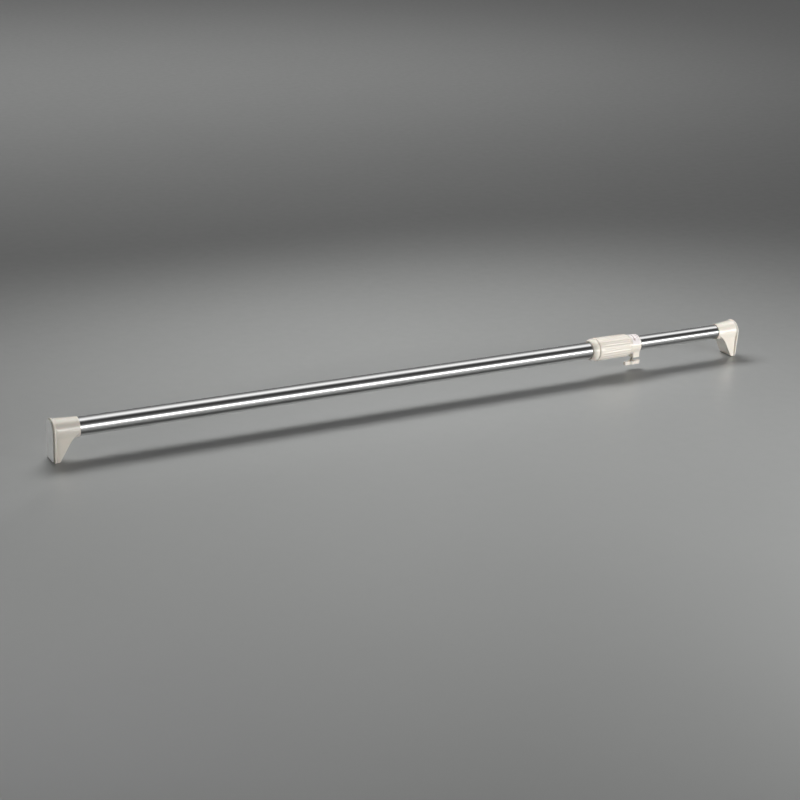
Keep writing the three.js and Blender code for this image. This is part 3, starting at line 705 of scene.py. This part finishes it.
def neck_distance(along, y, up):
    radial = np.hypot(y, up)
    x = along - BOSS["at"]
    length = between(along, NECK["start"], NECK["end"])
    into_nose = np.clip(along - NECK["end"] + NECK["nose"], 0, None)
    nose = radial - NECK["radius"] + into_nose ** 2 * NECK["nose_curve"]
    shell = meet(nose, length, NECK["edge"])
    block = rounded_rectangle(x, y, BOSS["half"], BOSS["half_width"], BOSS["corner"])
    boss = meet(block, between(up, BOSS["bottom"], 0), BOSS["edge"])
    body = smooth_min(shell, boss, BOSS["fillet"])
    body = smooth_max(body, length, NECK["rim"])
    cut_start = NECK["start"] - CUT_PAST
    bore = cylinder(radial, along, NECK["bore"], cut_start, NECK["end"] + CUT_PAST)
    counterbore = cylinder(radial, along, NECK["counterbore"], cut_start, SLEEVE["end"] + GAP)
    body = smooth_max(body, -np.minimum(bore, counterbore), NECK["edge"])
    pocket = np.maximum(
        rounded_rectangle(
            x, y, CLAMP_POCKET["half"], CLAMP_POCKET["half_width"], CLAMP_POCKET["corner"]
        ),
        between(up, CLAMP_POCKET["floor"], 0),
    )
    hole = cylinder(
        np.hypot(x, y), up, SCREW["radius"] + SCREW["play"], BOSS["bottom"] - CUT_PAST, -NECK["bore"]
    )
    return smooth_max(body, -np.minimum(pocket, hole), NECK["rim"])


def knob_distance(along, y, up):
    x = along - BOSS["at"]
    waist = WING["bottom"] + WING["notch"]
    lobe, hub = WING["lobe"], WING["hub"]
    edge = [(WING["half"], WING["top"])]
    edge += curve(
        (WING["half"], WING["bottom"] + lobe), (WING["half"], WING["bottom"]),
        (WING["half"] - lobe, WING["bottom"]), 5,
    )
    edge += curve((hub, WING["bottom"]), (lobe, WING["bottom"]), (1, waist), 5)
    outline = edge + [(-px, py) for px, py in edge[::-1]]
    wings = meet(polygon(x, up, outline), np.abs(y) - WING["half_thick"], WING["edge"])
    radial = np.hypot(x, y)
    middle = cylinder(radial, up, hub, waist - 1, WING["top"], WING["hub_edge"])
    body = smooth_min(wings, middle, WING["fillet"])
    body = smooth_max(body, between(up, WING["bottom"], WING["top"]), WING["rim"])
    cut_start = WING["bottom"] - CUT_PAST
    hole = cylinder(radial, up, SCREW["radius"] + GAP, cut_start, WING["top"] + CUT_PAST)
    flats = hexagon(x, y, SCREW["flats"] / 2 + GAP)
    head = np.maximum(flats, between(up, cut_start, SCREW["head_top"] + GAP))
    return smooth_max(body, -np.minimum(hole, head), WING["hole_edge"])


def hexagon(x, y, half_flats):
    """Distance to a hexagon with a corner on the x axis."""
    x, y = np.abs(x), np.abs(y)
    return np.maximum(y, y * 0.5 + x * math.sqrt(3) / 2) - half_flats


def make_screw():
    """A threaded shank on a hexagon head, as rings up the screw's own axis."""
    around = 96
    angles = np.arange(around) / around * TURN
    sector = TURN / 6
    flat = SCREW["flats"] / 2 / np.cos((angles + sector / 2) % sector - sector / 2)
    corner = SCREW["flats"] / 2 / math.cos(sector / 2)
    bottom, top = SCREW["head_bottom"], SCREW["head_top"]
    levels = [
        (bottom, np.minimum(flat, corner - 1.1)),
        (bottom + 0.5, np.minimum(flat, corner - 0.15)),
        (bottom + 0.8, flat),
        (top - 0.4, flat),
        (top, np.minimum(flat, corner - 0.5)),
    ]
    height = SCREW["tip"] - top
    steps = int(height / SCREW["pitch"] * SCREW["turn_steps"])
    for i in range(1, steps + 1):
        up = top + height * i / steps
        phase = up / SCREW["pitch"] - angles / TURN
        crest = np.abs(phase - np.round(phase)) * 2
        cut = SCREW["thread_depth"] * (1 - crest) * min(1, i / 4)
        levels.append((up, SCREW["radius"] - cut - 0.5 * max(0, up - SCREW["tip"] + 0.8)))
    rings = []
    for up, radii in levels:
        x = BOSS["at"] + radii * np.cos(angles)
        rings.append(np.stack([x, radii * np.sin(angles), np.full(around, up)], 1))
    rings_piece("lock_screw", rings, STEEL, closed=False)


def make_label():
    """A film on the neck, with a printed arrow along the turn and three bars beside it."""
    columns, rows = 84, 120
    middle = (LABEL["start"] + LABEL["end"]) / 2
    half_x = (LABEL["end"] - LABEL["start"]) / 2
    centre = math.radians((LABEL["from"] + LABEL["to"]) / 2)
    half_arc = math.radians(LABEL["to"] - LABEL["from"]) / 2 * LABEL["radius"]
    spots = []
    for i in range(columns + 1):
        x = -half_x + 2 * half_x * i / columns
        inset = max(0, abs(x) - half_x + LABEL["corner"])
        reach = half_arc - LABEL["corner"] + math.sqrt(LABEL["corner"] ** 2 - inset ** 2)
        spots.append([(x, reach * (2 * j / rows - 1)) for j in range(rows + 1)])
    spots = np.array(spots)
    x, arc = spots[..., 0], spots[..., 1]
    ink = printed_marks(x, arc)
    angle = centre + arc / LABEL["radius"]
    layers = []
    for radius in (LABEL["radius"], LABEL["radius"] + LABEL["thick"]):
        layer = np.stack([middle + x, radius * np.cos(angle), radius * np.sin(angle)], -1)
        layers.append(layer.reshape(-1, 3))
    wide = rows + 1
    each = wide * (columns + 1)
    faces = []
    for i in range(columns):
        for j in range(rows):
            a = i * wide + j
            quad = (a, a + 1, a + wide + 1, a + wide)
            faces.append(quad[::-1])
            faces.append(tuple(v + each for v in quad))
    rim = list(range(rows)) + [i * wide + rows for i in range(columns)]
    rim += [columns * wide + j for j in range(rows, 0, -1)] + [i * wide for i in range(columns, 0, -1)]
    for a, b in zip(rim, rim[1:] + rim[:1]):
        faces.append((b, b + each, a + each, a))
    piece = mesh_piece("direction_label", place(np.concatenate(layers)), faces, LABEL_FILM)
    marks = piece.data.attributes.new("ink", "FLOAT", "POINT")
    marks.data.foreach_set("value", np.tile(ink.reshape(-1), 2).astype(np.float32))


def printed_marks(x, arc):
    """How far inside a printed mark each spot is, in millimetres."""
    shaft = -rounded_rectangle(x + 3.2, arc + 2, 1.2, 6.5, 0.1)
    head = -polygon(x + 3.2, arc, [(-3.4, 3.5), (3.4, 3.5), (0, 9.5)])
    ink = np.maximum(shaft, head)
    for offset in (-8, -3.5, 1):
        ink = np.maximum(ink, -rounded_rectangle(x - 4.6, arc - offset, 3.0, 0.75, 0.3))
    return ink


def make_clamp():
    width = BOSS["half_width"] + 1
    reach = NECK["radius"] + 1
    low, high = (NECK["start"], -reach, BOSS["bottom"]), (NECK["end"], reach, reach)
    net_piece("clamp_neck", neck_distance, low, high, NET_STEP["neck"], IVORY)
    low = (BOSS["at"] - WING["half"], -width, WING["bottom"])
    high = (BOSS["at"] + WING["half"], width, WING["top"])
    net_piece("wing_knob", knob_distance, low, high, NET_STEP["knob"], IVORY)
    make_screw()
    make_label()


# The rest of the picture

def make_floor():
    """One large plain floor, with a very fine tone in its paint."""
    f = Finish("floor_paint", IOR=1.5)
    colour = f.blend(f.noise(3, 3), (0.31, 0.315, 0.31), (0.33, 0.335, 0.33))
    roughness = f.spread(f.noise(40, 3), 0.3, 0.7, 0.30, 0.36)
    corners = [(x * FLOOR_HALF, y * FLOOR_HALF, 0) for x, y in ((-1, -1), (1, -1), (1, 1), (-1, 1))]
    mesh = bpy.data.meshes.new("floor")
    mesh.from_pydata(corners, [], [(0, 1, 2, 3)])
    mesh.materials.append(f.done(colour, roughness))
    floor = bpy.data.objects.new("floor", mesh)
    bpy.context.scene.collection.objects.link(floor)
    floor.location.z = cad_low.z - FLOOR_BELOW


# Brightness of the studio round the bar, by degrees from the horizon in front, over the top
STUDIO = [
    (0, 4.6), (8, 4.6), (13, 3.0), (19, 1.15), (25, 0.48), (33, 0.19), (44, 0.075), (62, 0.05), (72, 0.17),
    (80, 0.60), (90, 1.40), (98, 1.50), (112, 1.25), (120, 0.75), (130, 0.42), (142, 0.26), (155, 0.20),
    (180, 0.24),
]
STUDIO_PEAK = max(brightness for _, brightness in STUDIO)
DIM_LEFT = 0.95  # the share of it that is missing to the far left


def make_light():
    world = bpy.data.worlds.new("studio")
    bpy.context.scene.world = world
    world.use_nodes = True
    nodes, links = world.node_tree.nodes, world.node_tree.links

    def worked_out(operation, *values):
        node = nodes.new("ShaderNodeMath")
        node.operation = operation
        for socket, value in zip(node.inputs, values):
            if isinstance(value, bpy.types.NodeSocket):
                links.new(value, socket)
            else:
                socket.default_value = value
        return node.outputs[0]

    direction = nodes.new("ShaderNodeSeparateXYZ")
    links.new(nodes.new("ShaderNodeTexCoord").outputs["Generated"], direction.inputs[0])
    toward_front = worked_out("MULTIPLY", direction.outputs["Y"], -1)
    angle = worked_out("ARCTAN2", direction.outputs["Z"], toward_front)
    ramp = nodes.new("ShaderNodeValToRGB")
    stops = ramp.color_ramp.elements
    while len(stops) < len(STUDIO):
        stops.new(0.5)
    for stop, (degrees, brightness) in zip(stops, STUDIO):
        stop.position = degrees / 180
        stop.color = (*[brightness / STUDIO_PEAK] * 3, 1)
    links.new(worked_out("DIVIDE", angle, math.pi), ramp.inputs[0])
    leftward = worked_out("MINIMUM", direction.outputs["X"], 0)
    background = nodes["Background"]
    links.new(ramp.outputs[0], background.inputs["Color"])
    strength = worked_out("MULTIPLY_ADD", leftward, DIM_LEFT * STUDIO_PEAK, STUDIO_PEAK)
    links.new(strength, background.inputs["Strength"])

    # The studio is only mirrored: the soft boxes light what is matt.
    world.cycles_visibility.diffuse = False
    soft_box("key", (0.05, 1.17, 1.53), (0.05, -0.7, 0), (1.6, 0.6), 4.9, spread=95)
    soft_box("top", (0.1, 1.2, 2.2), (0.1, 0.9, 0), (2.4, 1.6), 0.7)
    soft_box("back", (0.1, 3.0, 3.0), (0.1, 4.6, 0), (6, 2), 1.6, spread=130)
    soft_box("front", (1.1, -1.5, 0.36), (0.77, 0, 0.05), (1.6, 0.7), 8.0)
    soft_box("fill", (-1.7, -0.5, 0.3), (-1.0, 0, 0.05), (0.5, 0.5), 5.5)


def soft_box(name, at, aim, size, brightness, spread=180):
    """An area light that isn't mirrored in the bar."""
    data = bpy.data.lights.new(name, "AREA")
    data.shape = "RECTANGLE"
    data.size, data.size_y = size
    data.energy = brightness * math.pi * size[0] * size[1]
    data.spread = math.radians(spread)
    light = bpy.data.objects.new(name, data)
    light.location = at
    light.rotation_euler = (Vector(aim) - Vector(at)).to_track_quat("-Z", "Y").to_euler()
    light.visible_camera = False
    light.visible_glossy = False
    bpy.context.scene.collection.objects.link(light)


def make_camera():
    data = bpy.data.cameras.new("camera")
    data.lens = CAMERA_LENS
    camera = bpy.data.objects.new("camera", data)
    azimuth, elevation = math.radians(CAMERA["azimuth"]), math.radians(CAMERA["elevation"])
    back = Vector((
        math.sin(azimuth) * math.cos(elevation),
        -math.cos(azimuth) * math.cos(elevation),
        math.sin(elevation),
    ))
    camera.location = Vector(CAMERA["aim"]) + back * CAMERA["distance"]
    looking = Euler((math.radians(90) - elevation, 0, azimuth)).to_matrix()
    rolled = looking @ Euler((0, 0, math.radians(CAMERA_ROLL))).to_matrix()
    camera.rotation_euler = rolled.to_euler()
    bpy.context.scene.collection.objects.link(camera)
    bpy.context.scene.camera = camera
    bpy.context.scene.view_settings.view_transform = "Standard"


make_camera()
make_light()
make_floor()

BODY_OF = {node: body for body, nodes in frame["record"]["behaviour"]["bodies"].items() for node in nodes}
SLOT_OF = {row["node"]: row["material_slot"] for row in frame["record"]["subparts"]}
IVORY = ivory_plastic()
RUBBER = pad_rubber()
STAINLESS = stainless_tube()
STEEL = plated_steel()
ACETAL = acetal()
LABEL_FILM = label_film()

# Each CAD node takes the finish of its slot. Those that no fine piece replaces are inside the bar.
FINISHES = {
    "ivory_plastic": IVORY, "pad_rubber": RUBBER, "stainless_tube": STAINLESS,
    "plated_steel": STEEL, "acetal": ACETAL, "label_film": LABEL_FILM,
}
for node, piece in frame["nodes"].items():
    for slot in piece.material_slots:
        slot.material = FINISHES[SLOT_OF[node]]

make_ends()
make_tubes()
make_collar()
make_grip()
make_sleeve()
make_clamp()
